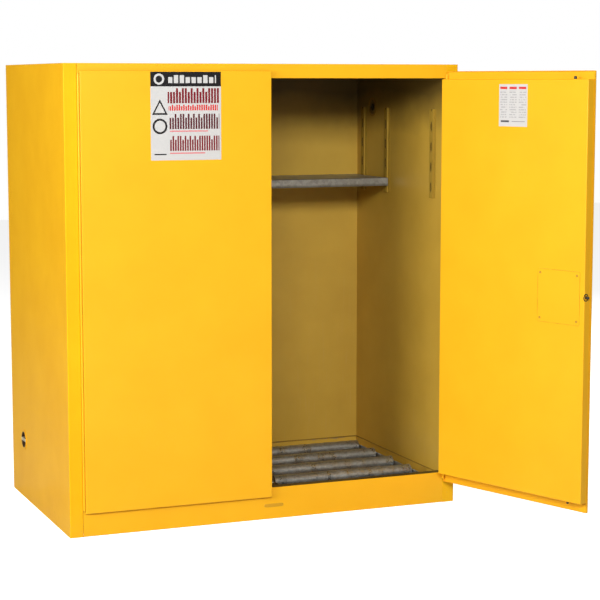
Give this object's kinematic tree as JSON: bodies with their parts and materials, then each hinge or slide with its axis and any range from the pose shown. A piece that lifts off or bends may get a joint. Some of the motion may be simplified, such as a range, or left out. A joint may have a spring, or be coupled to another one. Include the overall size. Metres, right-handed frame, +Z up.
{
  "type": "flammable storage cabinet",
  "caption": "Double-walled steel safety cabinet with two hinged doors, a three-point bolt latch, raised sill, drum rollers, capped vents and a half-depth shelf.",
  "frame": {"origin": "middle of the cabinet body's base outline, on the floor", "axes": "+X to the right as seen from the front, +Y to the back, +Z up"},
  "size_m": [1.6943, 1.5431, 1.651],
  "materials": {
    "yellow_paint": "semi-gloss",
    "black_paint": "satin",
    "black_steel": "satin",
    "zinc_steel": "satin",
    "galvanized_steel": "matt",
    "chrome": "polished",
    "brass": "satin",
    "label_film": "gloss"
  },
  "bodies": {
    "cabinet": {"outer_left_side": "yellow_paint", "outer_right_side": "yellow_paint", "outer_back": "yellow_paint", "outer_top": "yellow_paint", "outer_bottom": "yellow_paint", "header": "yellow_paint", "sill": "yellow_paint", "inner_left_side": "yellow_paint", "inner_right_side": "yellow_paint", "inner_back": "yellow_paint", "inner_top": "yellow_paint", "sump_floor": "yellow_paint", "left_hinge_frame_leaf": "yellow_paint", "right_hinge_frame_leaf": "yellow_paint", "hinge_pins": "zinc_steel", "shelf_standards": "yellow_paint", "shelf_brackets": "zinc_steel", "vent_collars": "yellow_paint", "flame_arresters": "zinc_steel", "earth_stud": "brass", "wall_spacers": "galvanized_steel", "levelling_feet": "zinc_steel", "left_roller_frame": "zinc_steel", "right_roller_frame": "zinc_steel", "roller_axles": "zinc_steel"},
    "left_roller_1": {"left_roller_1": "galvanized_steel"},
    "left_roller_2": {"left_roller_2": "galvanized_steel"},
    "left_roller_3": {"left_roller_3": "galvanized_steel"},
    "left_roller_4": {"left_roller_4": "galvanized_steel"},
    "right_roller_1": {"right_roller_1": "galvanized_steel"},
    "right_roller_2": {"right_roller_2": "galvanized_steel"},
    "right_roller_3": {"right_roller_3": "galvanized_steel"},
    "right_roller_4": {"right_roller_4": "galvanized_steel"},
    "low_vent_cap": {"low_vent_cap": "zinc_steel"},
    "high_vent_cap": {"high_vent_cap": "zinc_steel"},
    "shelf": {"shelf": "galvanized_steel"},
    "left_door": {"left_door_skin": "yellow_paint", "left_door_pan": "yellow_paint", "left_hinge_door_leaf": "yellow_paint", "left_door_stiffener": "galvanized_steel", "left_door_strike": "zinc_steel", "warning_label": "label_film"},
    "right_door": {"right_door_skin": "yellow_paint", "right_door_pan": "yellow_paint", "right_hinge_door_leaf": "yellow_paint", "latch_cover": "yellow_paint", "right_door_stiffener": "galvanized_steel", "handle_housing": "black_paint", "handle_pin": "zinc_steel", "latch_bracket": "zinc_steel", "cover_screws": "zinc_steel", "rod_guides": "zinc_steel", "instruction_card": "label_film"},
    "paddle_handle": {"paddle_handle": "chrome"},
    "key_cylinder": {"key_cylinder": "chrome"},
    "latch_cam": {"latch_cam": "zinc_steel"},
    "top_bolt": {"top_bolt": "black_steel"},
    "bottom_bolt": {"bottom_bolt": "black_steel"},
    "side_bolt": {"side_bolt": "black_steel"}
  },
  "joints": [
    {"name": "left_door_hinge", "type": "hinge", "parent": "cabinet", "child": "left_door", "pos_m": [-0.69975, -0.44, 0.85], "axis": [0, 0, -1], "range_deg": [0, 180]},
    {"name": "right_door_hinge", "type": "hinge", "parent": "cabinet", "child": "right_door", "pos_m": [0.69975, -0.44, 0.85], "axis": [0, 0, 1], "range_deg": [-110, 70]},
    {"name": "paddle_turn", "type": "hinge", "parent": "right_door", "child": "paddle_handle", "pos_m": [0.89214, -0.97443, 0.848], "axis": [0, 0, -1], "range_deg": [0, 35], "stiffness_Nm_per_rad": 1, "springref_deg": -28.65},
    {"name": "key_turn", "type": "hinge", "parent": "paddle_handle", "child": "key_cylinder", "pos_m": [0.88691, -0.93376, 0.848], "axis": [-0.9397, -0.342, 0], "range_deg": [0, 90]},
    {"name": "cam_turn", "type": "hinge", "parent": "right_door", "child": "latch_cam", "pos_m": [0.88757, -1.03143, 0.82673], "axis": [-0.9397, -0.342, 0], "range_deg": [-0.5, 40.5]},
    {"name": "top_bolt_slide", "type": "slide", "parent": "right_door", "child": "top_bolt", "axis": [0, 0, -1], "range_m": [-0.0002, 0.0152]},
    {"name": "bottom_bolt_slide", "type": "slide", "parent": "right_door", "child": "bottom_bolt", "axis": [0, 0, 1], "range_m": [-0.0002, 0.0152]},
    {"name": "side_bolt_slide", "type": "slide", "parent": "right_door", "child": "side_bolt", "axis": [-0.342, 0.9397, 0], "range_m": [-0.0002, 0.0152]},
    {"name": "shelf_lift", "type": "slide", "parent": "cabinet", "child": "shelf", "axis": [0, 0, 1], "range_m": [0, 0.1]},
    {"name": "low_vent_cap_turn", "type": "hinge", "parent": "cabinet", "child": "low_vent_cap", "pos_m": [-0.7495, 0.24, 0.227], "axis": [1, 0, 0], "continuous": true},
    {"name": "high_vent_cap_turn", "type": "hinge", "parent": "cabinet", "child": "high_vent_cap", "pos_m": [0.7495, 0.243, 1.486], "axis": [-1, 0, 0], "continuous": true},
    {"name": "left_roller_1_spin", "type": "hinge", "parent": "cabinet", "child": "left_roller_1", "pos_m": [-0.345, -0.3, 0.1039], "axis": [1, 0, 0], "continuous": true},
    {"name": "left_roller_2_spin", "type": "hinge", "parent": "cabinet", "child": "left_roller_2", "pos_m": [-0.345, -0.135, 0.1039], "axis": [1, 0, 0], "continuous": true},
    {"name": "left_roller_3_spin", "type": "hinge", "parent": "cabinet", "child": "left_roller_3", "pos_m": [-0.345, 0.03, 0.1039], "axis": [1, 0, 0], "continuous": true},
    {"name": "left_roller_4_spin", "type": "hinge", "parent": "cabinet", "child": "left_roller_4", "pos_m": [-0.345, 0.195, 0.1039], "axis": [1, 0, 0], "continuous": true},
    {"name": "right_roller_1_spin", "type": "hinge", "parent": "cabinet", "child": "right_roller_1", "pos_m": [0.345, -0.3, 0.1039], "axis": [1, 0, 0], "continuous": true},
    {"name": "right_roller_2_spin", "type": "hinge", "parent": "cabinet", "child": "right_roller_2", "pos_m": [0.345, -0.135, 0.1039], "axis": [1, 0, 0], "continuous": true},
    {"name": "right_roller_3_spin", "type": "hinge", "parent": "cabinet", "child": "right_roller_3", "pos_m": [0.345, 0.03, 0.1039], "axis": [1, 0, 0], "continuous": true},
    {"name": "right_roller_4_spin", "type": "hinge", "parent": "cabinet", "child": "right_roller_4", "pos_m": [0.345, 0.195, 0.1039], "axis": [1, 0, 0], "continuous": true}
  ],
  "couplings": [
    {"joint": "cam_turn", "follows": "paddle_turn", "ratio": 1.1429},
    {"joint": "top_bolt_slide", "follows": "paddle_turn", "m_per_rad": 0.024555},
    {"joint": "bottom_bolt_slide", "follows": "paddle_turn", "m_per_rad": 0.024555},
    {"joint": "side_bolt_slide", "follows": "paddle_turn", "m_per_rad": 0.024555}
  ]
}
